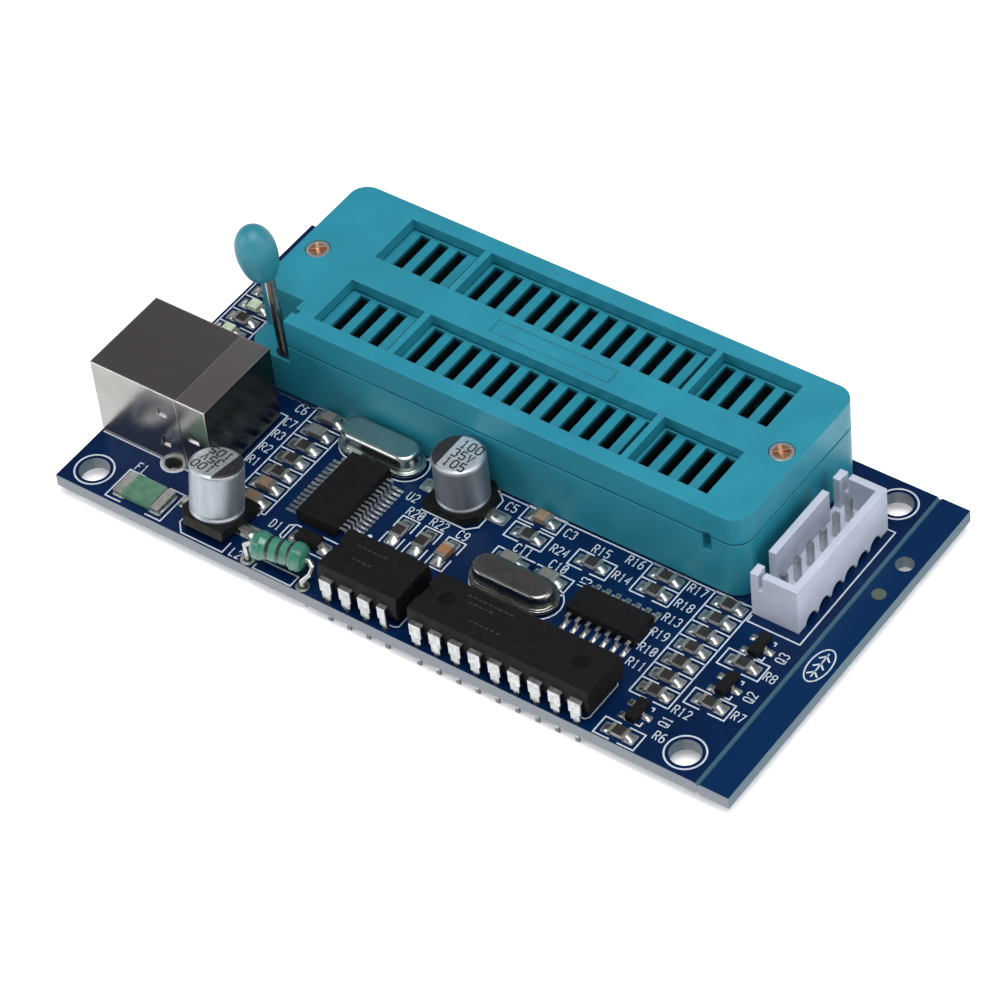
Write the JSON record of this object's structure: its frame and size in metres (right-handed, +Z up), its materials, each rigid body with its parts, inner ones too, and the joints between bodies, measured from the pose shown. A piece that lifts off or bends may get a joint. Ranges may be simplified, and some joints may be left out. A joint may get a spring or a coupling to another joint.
{
  "type": "usb microcontroller programmer",
  "caption": "Programmer board with a lever-operated zero-force chip socket, USB-B receptacle, shrouded side header and the chips, crystals and capacitors that drive it.",
  "frame": {"origin": "axis of the front left mounting hole, at the underside of the board", "axes": "+X along the board's front edge away from the USB receptacle, +Y from the front edge towards the lever socket, +Z up out of the component side"},
  "size_m": [0.0884, 0.0469, 0.0265],
  "materials": {
    "board": "glossy dark blue solder resist over glass-fibre board",
    "nickel": "bright nickel plate",
    "insulator": "moulded",
    "gold": "plated",
    "socket_plastic": "satin teal moulding",
    "slider_plastic": "satin teal moulding",
    "contact_metal": "plated",
    "screw_metal": "copper-coloured cross recess",
    "lever_steel": "drawn wire",
    "knob_plastic": "smooth",
    "white_plastic": "satin",
    "tin": "tinned",
    "lead_tin": "bright tinned",
    "chip_black": "moulded epoxy",
    "crystal_can": "drawn nickel silver",
    "can_aluminium": "satin",
    "black_plastic": "moulded",
    "coil_green": "lacquered, with dark bands",
    "fuse_green": "moulded",
    "resistor_black": "glazed",
    "ceramic_tan": "ceramic",
    "lamp_lens": "clear resin"
  },
  "bodies": {
    "board": {"circuit_board": "board", "usb_shell": "nickel", "usb_insulator": "insulator", "usb_contacts": "gold", "socket_base": "socket_plastic", "socket_cover": "socket_plastic", "socket_contacts_front": "contact_metal", "socket_contacts_rear": "contact_metal", "socket_screws": "screw_metal", "header_housing": "white_plastic", "header_pins": "tin", "long_chip_body": "chip_black", "long_chip_leads": "lead_tin", "short_chip_body": "chip_black", "short_chip_leads": "lead_tin", "bridge_chip_body": "chip_black", "bridge_chip_leads": "lead_tin", "driver_chip_body": "chip_black", "driver_chip_leads": "lead_tin", "crystal_cans": "crystal_can", "crystal_bases": "insulator", "crystal_leads": "tin", "capacitor_cans": "can_aluminium", "capacitor_bases": "black_plastic", "capacitor_tabs": "tin", "coil_body": "coil_green", "coil_leads": "tin", "fuse_body": "fuse_green", "fuse_ends": "tin", "diode_body": "chip_black", "diode_leads": "tin", "resistor_bodies": "resistor_black", "resistor_ends": "tin", "chip_capacitor_bodies": "ceramic_tan", "chip_capacitor_ends": "tin", "transistor_bodies": "chip_black", "transistor_leads": "tin", "lamp_bodies": "lamp_lens", "lamp_ends": "tin"},
    "lever": {"lever_shaft": "lever_steel", "lever_knob": "knob_plastic"},
    "slider": {"socket_slider": "slider_plastic"}
  },
  "joints": [
    {"name": "lever_turn", "type": "hinge", "parent": "board", "child": "lever", "pos_m": [0.0111, 0.02115, 0.0077], "axis": [0, 1, 0], "range_deg": [-79, 0]},
    {"name": "slider_shift", "type": "slide", "parent": "board", "child": "slider", "axis": [1, 0, 0], "range_m": [-0.001, 0]}
  ],
  "couplings": [
    {"joint": "slider_shift", "follows": "lever_turn", "m_per_rad": 0.000724}
  ]
}
